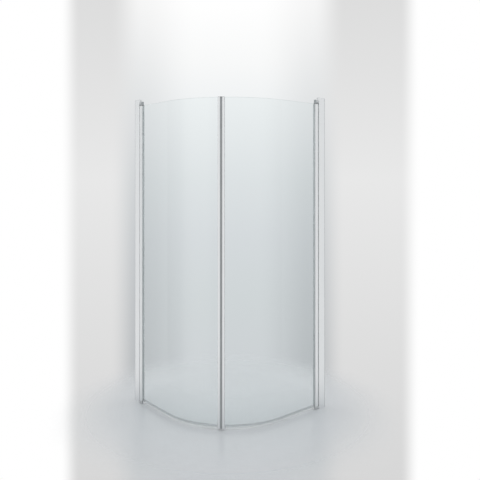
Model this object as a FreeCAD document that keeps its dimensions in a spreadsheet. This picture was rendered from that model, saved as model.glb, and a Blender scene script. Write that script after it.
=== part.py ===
import FreeCAD, Part
import os

import Sketcher

# Quadrant shower enclosure: two curved glass doors, each hung on a wall profile, that meet at the corner.
# Millimetres, +Z up. The origin is on the floor, in the middle of the square that the enclosure takes up.
# The left wall is the plane x = -footprint / 2 and the right wall is the plane y = footprint / 2.
# The right-hand set is the left-hand one mirrored in the upright plane through the room's corner.

doc = FreeCAD.newDocument("QuadrantEnclosure")
V = FreeCAD.Vector


# ---------------------------------------------------------------- driving dimensions

SIZES = [
    ("footprint", 890),  # wall to outer face, both ways
    ("wall_height", 1998),  # wall channel and frame profile, under their cap
    ("profile_depth", 24),  # frame and hinge profiles, across the glass
    ("bend_radius", 497),  # middle of the bent glass
    ("glass_thickness", 6),
    ("glass_top_drop", 40.5),  # glass below the top of the wall profile
    ("glass_lift", 20),  # glass above the floor
    # wall channel
    ("channel_reach", 30),
    ("channel_wall", 1.6),
    ("channel_lip", 3),
    ("slide_gap", 0.25),  # each side, between channel and frame profile
    ("fixing_radius", 3.25),
    ("fixing_inset", 99),  # first and last fixing hole, from the ends
    ("fixing_count", 4),
    # frame profile
    ("adjust_gap", 5),  # wall to frame profile at the middle of its adjustment
    ("frame_width", 52),
    ("frame_wall", 1.5),
    ("frame_web_place", 31),
    ("frame_end_wall", 5),
    ("frame_rounding", 1.2),
    ("groove_mouth", 1.5),  # half of the seal groove's mouth
    ("groove_half", 2.5),
    ("groove_lip", 1.5),
    ("groove_depth", 3.5),
    ("cap_plate", 2),
    ("cap_skirt", 12),
    ("cap_gap", 0.3),
    # screws
    ("adjust_count", 3),
    ("screw_radius", 2),
    ("screw_gap", 0.2),
    ("thread_gap", 0.02),
    ("head_radius", 3),
    ("head_height", 2),
    ("socket_radius", 1.25),
    ("socket_depth", 1.2),
    ("screw_reach", 2),  # of an adjusting screw's shank behind the channel
    ("adjust_screw_place", 18),
    ("adjust_screw_inset", 200),
    ("adjust_slot_half", 6),
    ("cover_half", 9),
    ("cover_thickness", 3),
    ("cover_wall", 0.8),
    ("cover_gap", 0.6),
    # hinge arms and pins
    ("arm_gap", 1),
    ("arm_thickness", 9),
    ("foot_thickness", 12),
    ("arm_floor_gap", 2),
    ("arm_inset", 0.6),  # arm inside the face of the profiles
    ("arm_end_gap", 0.2),
    ("tongue_length", 13),
    ("tongue_gap", 0.15),
    ("tongue_screw_pitch", 7),
    ("boss_set", 4.5),  # housing on the top arm, beyond the pivot axis
    ("boss_radius", 8.5),
    ("boss_inset", 0.4),  # from the round end of the arm
    ("boss_rise", 16.5),
    ("boss_rounding", 1.5),
    ("pin_radius", 4),
    ("pin_reach", 18),  # into the door
    ("pin_cover", 1.5),  # top arm above the end of its pin
    ("pin_press", 0.02),
    ("pin_running", 0.05),
    ("pin_nose", 0.6),
    ("washer_radius", 8),
    ("washer_thickness", 1.95),
    ("washer_running", 0.05),
    # hinge profile
    ("swing_gap", 1.5),  # frame profile to the nose
    ("seal_gap", 0.3),
    ("seal_tip_half", 2.1),
    ("pivot_set", 4.5),  # pivot axis beyond the middle of the nose
    ("slot_depth", 8.5),
    ("edge_gap", 0.8),
    ("gasket_thickness", 1.75),
    ("gasket_gap", 0.1),
    ("gasket_flange", 1.5),
    ("flange_inset", 0.4),
    ("bush_wall", 1.5),
    ("bore_wall", 1),  # hinge bore to the glass slot
    ("side_wall", 1.25),  # hinge bore to the side voids
    ("nose_wall", 3),
    ("bush_gap", 0.04),
    ("bush_length", 24),
    ("void_wall", 1.5),
    # closing profile
    ("closing_width", 13),
    ("closing_depth", 20),
    ("closing_slot", 8),
    ("foot_mouth", 3),  # half of the mouth of the groove for the magnet carrier
    ("foot_half", 4.25),
    ("closing_rounding", 1.2),
    ("closing_lift", 10),
    ("meeting_gap", 0.4),  # between the two magnet carriers
    ("carrier_width", 6.2),
    ("carrier_depth", 14),
    ("carrier_wall", 1.2),
    ("carrier_side", 2.4),
    ("edge_gasket_gap", 0.25),
    ("edge_lip", 1.2),
    ("edge_lip_height", 3),
    ("closing_cap", 1.5),
    # bottom seal
    ("seal_wall", 1.2),
    ("seal_leg", 12),
    ("seal_clearance", 4),  # wiper lip above the floor
    ("seal_end_gap", 0.5),
    ("lip_thickness", 1.4),
    ("lip_edge", 0.7),  # half of the lip's thickness at the floor
    ("drip_reach", 3.6),
    ("drip_drop", 3.6),
]

sheet = doc.addObject("Spreadsheet::Sheet", "Size")
for row, (name, number) in enumerate(SIZES, start=1):
    sheet.set(f"A{row}", str(number))
    sheet.setAlias(f"A{row}", name)
doc.recompute()


# ---------------------------------------------------------------- places worked out from them

# Across: distances from the left wall, along the flat part of the left door.
# Up: heights above the floor.
PLACES = [
    ("half", "Size.footprint / 2"),
    ("face", "Size.profile_depth / 2"),
    ("bend_start", "Size.footprint - Place.face - Size.bend_radius"),
    ("frame_end", "Size.adjust_gap + Size.frame_width"),
    ("frame_web", "Size.adjust_gap + Size.frame_web_place"),
    ("chamber", "Place.frame_web + Size.frame_wall"),
    ("chamber_end", "Place.frame_end - Size.frame_end_wall"),
    ("inside", "Place.face - Size.frame_wall"),
    ("channel_half", "Place.inside - Size.slide_gap"),
    ("fixing_pitch", "(Size.wall_height - 2 * Size.fixing_inset) / (Size.fixing_count - 1)"),
    ("adjust_pitch", "(Size.wall_height - 2 * Size.adjust_screw_inset) / (Size.adjust_count - 1)"),
    ("nose_tip", "Place.frame_end + Size.swing_gap"),
    ("nose", "Place.nose_tip + Place.face"),
    ("pivot", "Place.nose + Size.pivot_set"),
    ("bush_radius", "Size.pin_radius + Size.bush_wall"),
    ("slot_bottom", "Place.pivot + Place.bush_radius + Size.bore_wall"),
    ("hinge_end", "Place.slot_bottom + Size.slot_depth"),
    ("slot_half", "Size.glass_thickness / 2 + Size.gasket_thickness"),
    ("glass_start", "Place.slot_bottom + Size.edge_gap"),
    ("glass_half", "Size.glass_thickness / 2"),
    ("side_void", "max(Place.bush_radius; Place.slot_half) + Size.side_wall"),
    ("nose_void", "sqrt((Place.face - Size.void_wall) ^ 2 - (Place.face - Size.nose_wall) ^ 2)"),
    ("arm_half", "Place.face - Size.arm_inset"),
    ("boss", "Place.pivot + Size.boss_set"),
    ("arm_round", "Place.boss + Size.boss_radius + Size.boss_inset - Place.arm_half"),
    ("glass_top", "Size.wall_height - Size.glass_top_drop"),
    ("hinge_top", "Place.glass_top - Size.cap_plate"),
    ("arm_low", "Place.glass_top + Size.arm_gap"),
    ("arm_high", "Place.arm_low + Size.arm_thickness"),
    ("pin_top", "Place.arm_high - Size.pin_cover"),
    ("boss_top", "Place.arm_high + Size.boss_rise"),
    ("foot_low", "Size.arm_floor_gap"),
    ("foot_high", "Place.foot_low + Size.foot_thickness"),
    ("hinge_low", "Place.foot_high + Size.washer_thickness + Size.washer_running + Size.cap_plate"),
    ("tongue_start", "Place.chamber_end - Size.tongue_length"),
    ("tongue_half", "Place.inside - Size.tongue_gap"),
    ("meeting", "-Size.meeting_gap / 2"),
    ("carrier_back", "Place.meeting - Size.carrier_width"),
    ("closing_front", "Place.carrier_back - Size.gasket_gap"),
    ("closing_back", "Place.closing_front - Size.closing_width"),
    ("closing_half", "Size.closing_depth / 2"),
    ("closing_slot_end", "Place.closing_back + Size.closing_slot"),
    ("glass_end", "Place.closing_slot_end - Size.edge_gap"),
    ("groove_floor", "Place.closing_front - Size.groove_depth"),
    ("slot_middle", "(Place.closing_back + Place.glass_end) / 2"),
    ("slot_shift", "Size.bend_radius - sqrt(Size.bend_radius ^ 2 - Place.slot_middle ^ 2)"),
]

place = doc.addObject("App::VarSet", "Place")
for name, formula in PLACES:
    place.addProperty("App::PropertyFloat", name, "Places", "")
    place.setExpression(name, formula)
    doc.recompute()


def value(formula):
    """The number that a formula gives now."""
    return float(place.evalExpression(formula))


def minus(formula):
    return f"-({formula})"


# ---------------------------------------------------------------- sketches and features


def origin_part(body, role):
    return [f for f in body.Origin.OriginFeatures if f.Role == role][0]


def pin_point(sketch, geometry, point, x, y):
    """Holds a point of a sketch at x, y from the sketch's origin."""
    for kind, formula in (("DistanceX", x), ("DistanceY", y)):
        here = Sketcher.Constraint(kind, -1, 1, geometry, point, value(formula))
        number = sketch.addConstraint(here)
        sketch.setExpression(f"Constraints[{number}]", formula)


def add_loop(sketch, points):
    """A closed outline of straight lines through points given as pairs of formulas."""
    numbers = [V(value(x), value(y), 0) for x, y in points]
    first = sketch.GeometryCount
    count = len(points)
    for k in range(count):
        sketch.addGeometry(Part.LineSegment(numbers[k], numbers[(k + 1) % count]))
    for k in range(count):
        after = first + (k + 1) % count
        sketch.addConstraint(Sketcher.Constraint("Coincident", first + k, 2, after, 1))
    for k, (x, y) in enumerate(points):
        pin_point(sketch, first + k, 1, x, y)


def add_disc(sketch, x, y, radius):
    circle = Part.Circle(V(value(x), value(y), 0), V(0, 0, 1), value(radius))
    number = sketch.addGeometry(circle)
    pin_point(sketch, number, 3, x, y)
    here = Sketcher.Constraint("Radius", number, value(radius))
    sketch.setExpression(f"Constraints[{sketch.addConstraint(here)}]", radius)


def draw(body, name, plane="XY_Plane", loops=(), discs=(), at="0"):
    """A sketch on one of the body's own planes, lifted off it by the formula at."""
    sketch = body.newObject("Sketcher::SketchObject", name)
    sketch.AttachmentSupport = [(origin_part(body, plane), "")]
    sketch.MapMode = "FlatFace"
    sketch.setExpression("AttachmentOffset.Base.z", at)
    for points in loops:
        add_loop(sketch, points)
    for disc in discs:
        add_disc(sketch, *disc)
    return sketch


def rectangle(x0, y0, x1, y1):
    return [(x0, y0), (x1, y0), (x1, y1), (x0, y1)]


def band(x0, x1, half):
    """A rectangle from x0 to x1, as far each side of the glass plane."""
    return rectangle(x0, minus(half), x1, half)


def both_sides(points):
    """An outline from its half on the y side, which runs from one end of the x axis to the other."""
    return points + [(x, minus(y)) for x, y in reversed(points)]


def pad(body, sketch, length, reverse=False):
    feature = body.newObject("PartDesign::Pad", "Pad")
    feature.Profile = sketch
    feature.setExpression("Length", length)
    feature.Reversed = reverse
    doc.recompute()
    return feature


def cut(body, sketch, length, reverse=False):
    """A pocket, which has to take some of the body away."""
    before = body.Shape.Volume
    feature = body.newObject("PartDesign::Pocket", "Pocket")
    feature.Profile = sketch
    feature.setExpression("Length", length)
    feature.Reversed = reverse
    doc.recompute()
    if before - body.Shape.Volume < 0.01:
        raise RuntimeError(f"{body.Label}: a pocket cuts nothing")
    return feature


def repeat_up(body, features, pitch, count):
    pattern = body.newObject("PartDesign::LinearPattern", "Repeat")
    pattern.Originals = features
    pattern.Direction = (origin_part(body, "Z_Axis"), [""])
    pattern.Mode = 1
    pattern.setExpression("Offset", pitch)
    pattern.setExpression("Occurrences", count)
    body.Tip = pattern
    doc.recompute()
    return pattern


def soften(body, radius, corners):
    """Rounds the upright edges that stand at the given plan points."""
    base = body.Tip
    edges = []
    for number, edge in enumerate(base.Shape.Edges, start=1):
        ends = [v.Point for v in edge.Vertexes]
        upright = len(ends) == 2 and abs(ends[0].z - ends[1].z) > 1
        for x, y in corners:
            near = all(abs(p.x - value(x)) < 0.01 and abs(p.y - value(y)) < 0.01 for p in ends)
            if upright and near:
                edges.append(f"Edge{number}")
    feature = body.newObject("PartDesign::Fillet", "Fillet")
    feature.Base = (base, edges)
    feature.setExpression("Radius", radius)
    doc.recompute()
    return feature


def soften_rim(body, level, radius, rounding):
    """Rounds the outer rim of a round face at the given height."""
    base = body.Tip
    rims = []
    for number, edge in enumerate(base.Shape.Edges, start=1):
        ring = len(edge.Vertexes) == 1 and abs(edge.Vertexes[0].Point.z - value(level)) < 0.01
        if ring and abs(edge.Curve.Radius - value(radius)) < 0.01:
            rims.append(f"Edge{number}")
    feature = body.newObject("PartDesign::Fillet", "Rim")
    feature.Base = (base, rims)
    feature.setExpression("Radius", rounding)
    doc.recompute()
    return feature


# ---------------------------------------------------------------- the three places that pieces are drawn in

LEFT = {}  # node name without its side: document object


def start(name, where):
    """A body for one left-hand piece, in the frame of the flat glass, of the bend or of the meeting edge."""
    body = doc.addObject("PartDesign::Body", name)
    body.Label = "left_" + name
    where(body)
    LEFT[name] = body
    return body


def by_wall(body):
    """x runs along the flat glass from the wall, y is 0 in the middle of the glass and grows inwards."""
    body.setExpression("Placement.Base.x", "-Place.half")
    body.setExpression("Placement.Base.y", "Place.face - Place.half")


def by_bend(body):
    """The origin is the centre that the glass is bent round."""
    body.setExpression("Placement.Base.x", "Place.bend_start - Place.half")
    body.setExpression("Placement.Base.y", "Place.face + Size.bend_radius - Place.half")


def by_meeting(body):
    """The origin is where the doors meet; x runs along the curve towards the other door, y grows inwards.

    The glass curves away from a straight slot, so y is 0 in the middle of the glass at the slot's middle.
    """
    reach = "(Size.bend_radius - Place.slot_shift)"
    x = f"Place.bend_start + {reach} * cos(45 deg) - Place.half"
    y = f"Place.face + Size.bend_radius - {reach} * sin(45 deg) - Place.half"
    body.setExpression("Placement.Base.x", x)
    body.setExpression("Placement.Base.y", y)
    body.Placement = FreeCAD.Placement(body.Placement.Base, FreeCAD.Rotation(V(0, 0, 1), 45))


# ---------------------------------------------------------------- fixed to the wall


def wall_channel():
    """U-shaped extrusion, its web on the wall, with a stiffening lip on each leg."""
    body = start("wall_channel", by_wall)
    wall = "Size.channel_wall"
    reach = "Size.channel_reach"
    inner = f"Place.channel_half - {wall}"
    lip = f"{inner} - Size.channel_lip"
    half_outline = [
        ("0", "Place.channel_half"),
        (reach, "Place.channel_half"),
        (reach, lip),
        (f"{reach} - {wall}", lip),
        (f"{reach} - {wall}", inner),
        (wall, inner),
    ]
    pad(body, draw(body, "section", loops=[both_sides(half_outline)]), "Size.wall_height")
    hole = draw(body, "fixing", "YZ_Plane", discs=[("0", "Size.fixing_inset", "Size.fixing_radius")])
    first = cut(body, hole, wall, reverse=True)
    repeat_up(body, [first], "Place.fixing_pitch", "Size.fixing_count")
    screw_holes(body, "Place.channel_half", "Size.channel_wall")


def screw_holes(body, outer, thickness):
    """Clear holes for the adjusting screws, through the inner wall."""
    hole = draw(
        body,
        "screw_hole",
        "XZ_Plane",
        discs=[("Size.adjust_screw_place", "Size.adjust_screw_inset", "Size.screw_radius + Size.screw_gap")],
        at=minus(outer),
    )
    first = cut(body, hole, thickness, reverse=True)
    repeat_up(body, [first], "Place.adjust_pitch", "Size.adjust_count")


def frame_profile():
    """Box extrusion that slides over the channel. Its end face has the seal groove and the arm windows."""
    body = start("frame_profile", by_wall)
    end = "Place.frame_end"
    lip = f"{end} - Size.groove_lip"
    floor = f"{end} - Size.groove_depth"
    half_outline = [
        ("Place.frame_web", "Place.inside"),
        ("Size.adjust_gap", "Place.inside"),
        ("Size.adjust_gap", "Place.face"),
        (end, "Place.face"),
        (end, "Size.groove_mouth"),
        (lip, "Size.groove_mouth"),
        (lip, "Size.groove_half"),
        (floor, "Size.groove_half"),
    ]
    chamber = band("Place.chamber", "Place.chamber_end", "Place.inside")
    pad(body, draw(body, "section", loops=[both_sides(half_outline), chamber]), "Size.wall_height")
    outer = [(end, "Place.face"), (end, minus("Place.face"))]
    outer += [("Size.adjust_gap", "Place.face"), ("Size.adjust_gap", minus("Place.face"))]
    soften(body, "Size.frame_rounding", outer)
    window = band("Place.chamber_end - Size.frame_wall", "Place.frame_end + 1", "Place.inside")
    top = draw(body, "top_window", loops=[window], at="Place.arm_low - Size.tongue_gap")
    cut(body, top, "Size.arm_thickness + 2 * Size.tongue_gap", reverse=True)
    bottom = draw(body, "bottom_window", loops=[window])
    cut(body, bottom, "Place.foot_high + Size.tongue_gap", reverse=True)
    for low, high in (("Place.arm_low", "Place.arm_high"), ("Place.foot_low", "Place.foot_high")):
        holes = draw(
            body,
            "arm_screw_holes",
            "XZ_Plane",
            discs=[(x, z, "Size.screw_radius + Size.screw_gap") for x, z in arm_screw_places(low, high)],
            at=minus("Place.face"),
        )
        cut(body, holes, "Size.frame_wall", reverse=True)
    middle, low = "Size.adjust_screw_place", "Size.adjust_screw_inset"
    half_slot, tall = "Size.adjust_slot_half", "Size.screw_radius + Size.screw_gap"
    slot = rectangle(
        f"{middle} - {half_slot}",
        f"{low} - ({tall})",
        f"{middle} + {half_slot}",
        f"{low} + {tall}",
    )
    sketch = draw(body, "adjusting_slot", "XZ_Plane", loops=[slot], at=minus("Place.face"))
    first = cut(body, sketch, "Size.frame_wall", reverse=True)
    repeat_up(body, [first], "Place.adjust_pitch", "Size.adjust_count")


def arm_screw_places(low, high):
    """The two screws that hold an arm's tongue, side by side at half its height."""
    middle = "Place.chamber_end - Size.tongue_length / 2"
    height = f"({low} + {high}) / 2"
    return [(f"{middle} + {sign} * Size.tongue_screw_pitch / 2", height) for sign in (-1, 1)]


def screws(name, places, reach, seat, count=None, pitch=None):
    """Pan-head socket screws from the inside: seat is where the head bears, reach how far the shank goes."""
    body = start(name, by_wall)
    out = minus(seat)
    heads = [(x, z, "Size.head_radius") for x, z in places]
    shanks = [(x, z, "Size.screw_radius") for x, z in places]
    sockets = [(x, z, "Size.socket_radius") for x, z in places]
    head_sketch = draw(body, "heads", "XZ_Plane", discs=heads, at=out)
    features = [pad(body, head_sketch, "Size.head_height", True)]
    shank_sketch = draw(body, "shanks", "XZ_Plane", discs=shanks, at=out)
    features.append(pad(body, shank_sketch, reach))
    top = f"{out} - Size.head_height"
    socket_sketch = draw(body, "sockets", "XZ_Plane", discs=sockets, at=top)
    features.append(cut(body, socket_sketch, "Size.socket_depth", True))
    if count:
        repeat_up(body, features, pitch, count)


def screw_covers():
    """Low oblong covers, hollow behind, clipped over the adjusting screws."""
    body = start("screw_covers", by_wall)
    middle, low, half = "Size.adjust_screw_place", "Size.adjust_screw_inset", "Size.cover_half"
    tall = "Size.head_radius + Size.cover_wall + Size.cover_gap"

    def oblong(inset):
        return rectangle(
            f"{middle} - {half} + {inset}",
            f"{low} - ({tall}) + {inset}",
            f"{middle} + {half} - {inset}",
            f"{low} + ({tall}) - {inset}",
        )

    out = minus("Place.face")
    shell = draw(body, "outline", "XZ_Plane", loops=[oblong("0")], at=out)
    features = [pad(body, shell, "Size.cover_thickness", True)]
    hollow = draw(body, "hollow", "XZ_Plane", loops=[oblong("Size.cover_wall")], at=out)
    features.append(cut(body, hollow, "Size.cover_thickness - Size.cover_wall", False))
    repeat_up(body, features, "Place.adjust_pitch", "Size.adjust_count")


def frame_cap():
    """Cap flush with the frame profile, with a skirt in the profile's front chamber."""
    body = start("frame_cap", by_wall)
    plate = band("Size.adjust_gap", "Place.frame_end", "Place.face")
    pad(body, draw(body, "plate", loops=[plate], at="Size.wall_height"), "Size.cap_plate")
    gap = "Size.cap_gap"
    skirt = band(f"Place.chamber + {gap}", f"Place.chamber_end - {gap}", f"Place.inside - {gap}")
    sketch = draw(body, "skirt", loops=[skirt], at="Size.wall_height")
    pad(body, sketch, "Size.cap_skirt", True)
    outer = [(x, y) for x in ("Size.adjust_gap", "Place.frame_end") for y in ("Place.face", "-Place.face")]
    soften(body, "Size.frame_rounding", outer)


def hinge_arm(name, low, high, middle, pin_end):
    """Arm whose tongue sits in the frame profile and whose end, round about middle, carries the pivot pin."""
    body = start(name, by_wall)
    half, thickness = "Place.arm_half", f"{high} - {low}"
    plate = band("Place.frame_end + Size.arm_end_gap", middle, half)
    pad(body, draw(body, "plate", loops=[plate], at=low), thickness)
    pad(body, draw(body, "round_end", discs=[(middle, "0", half)], at=low), thickness)
    tongue = band("Place.tongue_start", "Place.pivot", "Place.tongue_half")
    pad(body, draw(body, "tongue", loops=[tongue], at=low), thickness)
    bore = draw(body, "bore", discs=[("Place.pivot", "0", "Size.pin_radius + Size.pin_press")], at=low)
    cut(body, bore, f"{pin_end} - {low}", reverse=True)
    holes = draw(
        body,
        "screw_holes",
        "XZ_Plane",
        discs=[(x, z, "Size.screw_radius + Size.thread_gap") for x, z in arm_screw_places(low, high)],
        at=minus("Place.tongue_half"),
    )
    cut(body, holes, "Place.tongue_half", reverse=True)
    return body


def top_housing(body):
    """Upright round housing cast on the top arm."""
    sketch = draw(body, "housing", discs=[("Place.boss", "0", "Size.boss_radius")], at="Place.arm_high")
    pad(body, sketch, "Size.boss_rise")
    soften_rim(body, "Place.boss_top", "Size.boss_radius", "Size.boss_rounding")


def pivot_pin(name, low, length):
    """Turned steel pin."""
    body = start(name, by_wall)
    pad(body, draw(body, "round", discs=[("Place.pivot", "0", "Size.pin_radius")], at=low), length)
    base = body.Tip
    rims = [f"Edge{n}" for n, e in enumerate(base.Shape.Edges, start=1) if len(e.Vertexes) == 1]
    chamfer = body.newObject("PartDesign::Chamfer", "Chamfer")
    chamfer.Base = (base, rims)
    chamfer.setExpression("Size", "Size.pin_nose")
    doc.recompute()


def thrust_washer():
    """Ring on the bottom arm, which the door turns on."""
    body = start("thrust_washer", by_wall)
    rings = [("Place.pivot", "0", r) for r in ("Size.washer_radius", "Size.pin_radius + Size.screw_gap")]
    pad(body, draw(body, "ring", discs=rings, at="Place.foot_high"), "Size.washer_thickness")


def gap_seal():
    """Soft strip, held in the end face's groove, that stops just short of the turning nose."""
    body = start("gap_seal", by_wall)
    gap = "Size.gasket_gap"
    end = "Place.frame_end"
    tip = "Place.nose_tip - Size.seal_gap"
    half_outline = [
        (f"{end} - Size.groove_depth + {gap}", f"Size.groove_half - {gap}"),
        (f"{end} - Size.groove_lip - {gap}", f"Size.groove_half - {gap}"),
        (f"{end} - Size.groove_lip - {gap}", f"Size.groove_mouth - {gap}"),
        (f"{end} + {gap}", f"Size.groove_mouth - {gap}"),
        (f"{end} + {gap}", "Size.groove_half"),
        (tip, "Size.seal_tip_half"),
    ]
    sketch = draw(body, "section", loops=[both_sides(half_outline)], at="Place.hinge_low")
    pad(body, sketch, "Place.hinge_top - Place.hinge_low")


# ---------------------------------------------------------------- the door


def hinge_profile():
    """Extrusion with a round nose, a through bore for the pins' bushes, voids and the glass slot."""
    body = start("hinge_profile", by_wall)
    low, length = "Place.hinge_low", "Place.hinge_top - Place.hinge_low"
    flat = band("Place.nose", "Place.hinge_end", "Place.face")
    pad(body, draw(body, "flat_part", loops=[flat], at=low), length)
    pad(body, draw(body, "nose", discs=[("Place.nose", "0", "Place.face")], at=low), length)
    wall = "Size.void_wall"
    front = "Place.nose - Place.face + Size.nose_wall"
    nose_void = band(front, f"Place.pivot - Place.bush_radius - {wall}", "Place.nose_void")
    side_low, side_high = "Place.side_void", f"Place.face - {wall}"
    side_from, side_to = f"Place.pivot - {wall}", f"Place.hinge_end - {wall}"
    outer_void = rectangle(side_from, side_low, side_to, side_high)
    inner_void = rectangle(side_from, minus(side_low), side_to, minus(side_high))
    slot = band("Place.slot_bottom", "Place.hinge_end + 1", "Place.slot_half")
    bore = [("Place.pivot", "0", "Place.bush_radius")]
    for name, loops, discs in (
        ("voids", [nose_void, outer_void, inner_void], ()),
        ("glass_slot", [slot], ()),
        ("bush_bore", (), bore),
    ):
        cut(body, draw(body, name, loops=loops, discs=discs, at=low), length, reverse=True)
    ends = [("Place.hinge_end", "Place.face"), ("Place.hinge_end", minus("Place.face"))]
    soften(body, "Size.frame_rounding", ends)


def pivot_bush(name, plate_low, plug_low, bore_low):
    """Moulded plug: its plate closes the end of the hinge profile and its round plug turns on the pin."""
    body = start(name, by_wall)
    plate = band("Place.nose", "Place.hinge_end", "Place.face")
    pad(body, draw(body, "plate", loops=[plate], at=plate_low), "Size.cap_plate")
    nose = draw(body, "nose", discs=[("Place.nose", "0", "Place.face")], at=plate_low)
    pad(body, nose, "Size.cap_plate")
    plug = draw(body, "plug", discs=[("Place.pivot", "0", "Place.bush_radius - Size.bush_gap")], at=plug_low)
    pad(body, plug, "Size.bush_length")
    bore = [("Place.pivot", "0", "Size.pin_radius + Size.pin_running")]
    length = "Size.bush_length + Size.cap_plate"
    cut(body, draw(body, "bore", discs=bore, at=bore_low), length, reverse=True)
    slot = band("Place.slot_bottom", "Place.hinge_end + 1", "Place.glass_half + Size.gasket_gap")
    cut(body, draw(body, "glass_notch", loops=[slot], at=plate_low), "Size.cap_plate", reverse=True)


def swept(name, outline, first, last):
    """A section across the bend, run straight to the hinge and round the bend to the meeting edge."""
    body = start(name, by_bend)
    section = draw(body, "section", "YZ_Plane", loops=[outline])
    bend = body.newObject("PartDesign::Revolution", "Bend")
    bend.Profile = section
    bend.ReferenceAxis = (origin_part(body, "Z_Axis"), [""])
    bend.setExpression("Angle", f"45 deg - asin(-({last}) / Size.bend_radius)")
    doc.recompute()
    pad(body, section, f"Place.bend_start - ({first})", True)
    return body


def glass():
    """Toughened pane, flat beside the wall and bent round the corner, with ground edges."""
    middle = "-Size.bend_radius"
    outline = rectangle(
        f"{middle} - Place.glass_half", "Size.glass_lift", f"{middle} + Place.glass_half", "Place.glass_top"
    )
    swept("glass", outline, "Place.glass_start", "Place.glass_end")


def bottom_seal():
    """Clear strip clipped on the glass: two legs, a base, a wiper lip and an inner drip edge."""
    middle = "-Size.bend_radius"
    near = f"{middle} + Place.glass_half + Size.gasket_gap"
    far = f"{middle} - Place.glass_half - Size.gasket_gap"
    top = "Size.glass_lift + Size.seal_leg"
    under = "Size.glass_lift - Size.gasket_gap"
    base = f"Size.glass_lift - Size.gasket_gap - Size.seal_wall"
    outline = [
        (near, top),
        (near, under),
        (far, under),
        (far, top),
        (f"{far} - Size.seal_wall", top),
        (f"{far} - Size.seal_wall", base),
        (f"{middle} - Size.lip_thickness", base),
        (f"{middle} - Size.lip_edge", "Size.seal_clearance"),
        (f"{middle} + Size.lip_edge", "Size.seal_clearance"),
        (f"{middle} + Size.lip_thickness", base),
        (f"{near} + Size.drip_reach - Size.seal_wall", f"{base} - Size.drip_drop"),
        (f"{near} + Size.drip_reach", f"{base} - Size.drip_drop + Size.seal_wall / 2"),
        (f"{near} + Size.seal_wall", f"{base} + Size.seal_wall / 2"),
        (f"{near} + Size.seal_wall", top),
    ]
    first = "Place.hinge_end + Size.gasket_flange + Size.seal_end_gap"
    last = "Place.closing_back - Size.edge_lip - Size.seal_end_gap"
    swept("bottom_seal", outline, first, last)


def glazing_gasket(name, side):
    """Rubber strip between glass and slot, whose flange covers the end face of the hinge profile."""
    body = start(name, by_wall)
    gap = "Size.gasket_gap"
    near = f"Place.glass_half + {gap}"
    mouth = "Place.hinge_end"
    outline = [
        (f"Place.glass_start", near),
        (f"{mouth} + Size.gasket_flange", near),
        (f"{mouth} + Size.gasket_flange", "Place.face - Size.flange_inset"),
        (mouth, "Place.face - Size.flange_inset"),
        (mouth, f"Place.slot_half - {gap}"),
        (f"Place.glass_start", f"Place.slot_half - {gap}"),
    ]
    outline = [(x, f"{side} * ({y})") for x, y in outline]
    section = draw(body, "section", loops=[outline], at="Size.glass_lift")
    pad(body, section, "Place.hinge_top - Size.glass_lift")


def closing_profile():
    """Extrusion on the free edge, with a slot for the glass and a groove for the magnet carrier."""
    body = start("closing_profile", by_meeting)
    front, back, half = "Place.closing_front", "Place.closing_back", "Place.closing_half"
    lip = f"{front} - Size.groove_lip"
    half_outline = [
        ("Place.closing_slot_end", "Place.slot_half"),
        (back, "Place.slot_half"),
        (back, half),
        (front, half),
        (front, "Size.foot_mouth"),
        (lip, "Size.foot_mouth"),
        (lip, "Size.foot_half"),
        ("Place.groove_floor", "Size.foot_half"),
    ]
    low, high = "Place.slot_half + Size.void_wall", "Place.closing_half - Size.void_wall"
    first, last = f"{back} + Size.void_wall", f"{front} - Size.void_wall"
    voids = [rectangle(first, low, last, high), rectangle(first, minus(low), last, minus(high))]
    section = draw(body, "section", loops=[both_sides(half_outline)] + voids, at="Size.closing_lift")
    pad(body, section, "Place.glass_top - Size.closing_lift")
    corners = [(x, y) for x in (front, back) for y in (half, minus(half))]
    soften(body, "Size.closing_rounding", corners)


def edge_gasket(name, side):
    """Thin rubber strip between the glass and the closing profile, with a small lip against the glass."""
    body = start(name, by_meeting)
    gap = "Size.gasket_gap"
    back = "Place.closing_back"
    near = "Place.glass_half + Size.edge_gasket_gap"
    outline = [
        ("Place.glass_end", near),
        (f"{back} - Size.edge_lip", near),
        (f"{back} - Size.edge_lip", "Place.glass_half + Size.edge_lip_height"),
        (back, "Place.glass_half + Size.edge_lip_height"),
        (back, f"Place.slot_half - {gap}"),
        ("Place.glass_end", f"Place.slot_half - {gap}"),
    ]
    outline = [(x, f"{side} * ({y})") for x, y in outline]
    section = draw(body, "section", loops=[outline], at="Size.glass_lift")
    pad(body, section, "Place.glass_top - Size.glass_lift")


def carrier_foot(gap):
    """The half of the carrier's foot that the groove of the closing profile holds."""
    lip = "Place.closing_front - Size.groove_lip"
    return [
        (f"Place.groove_floor + {gap}", f"Size.foot_half - {gap}"),
        (f"{lip} - {gap}", f"Size.foot_half - {gap}"),
        (f"{lip} - {gap}", f"Size.foot_mouth - {gap}"),
        ("Place.carrier_back", f"Size.foot_mouth - {gap}"),
    ]


def magnet_carrier():
    """Dark moulded strip with a foot in the closing profile and a square chamber for the magnet."""
    body = start("magnet_carrier", by_meeting)
    half = "Size.carrier_depth / 2"
    head = [("Place.carrier_back", half), ("Place.meeting", half)]
    outline = both_sides(carrier_foot("Size.gasket_gap") + head)
    wall = "Size.carrier_wall"
    chamber = band(f"Place.carrier_back + {wall}", f"Place.meeting - {wall}", f"{half} - Size.carrier_side")
    section = draw(body, "section", loops=[outline, chamber], at="Size.closing_lift")
    pad(body, section, "Place.glass_top - Size.closing_lift")


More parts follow.
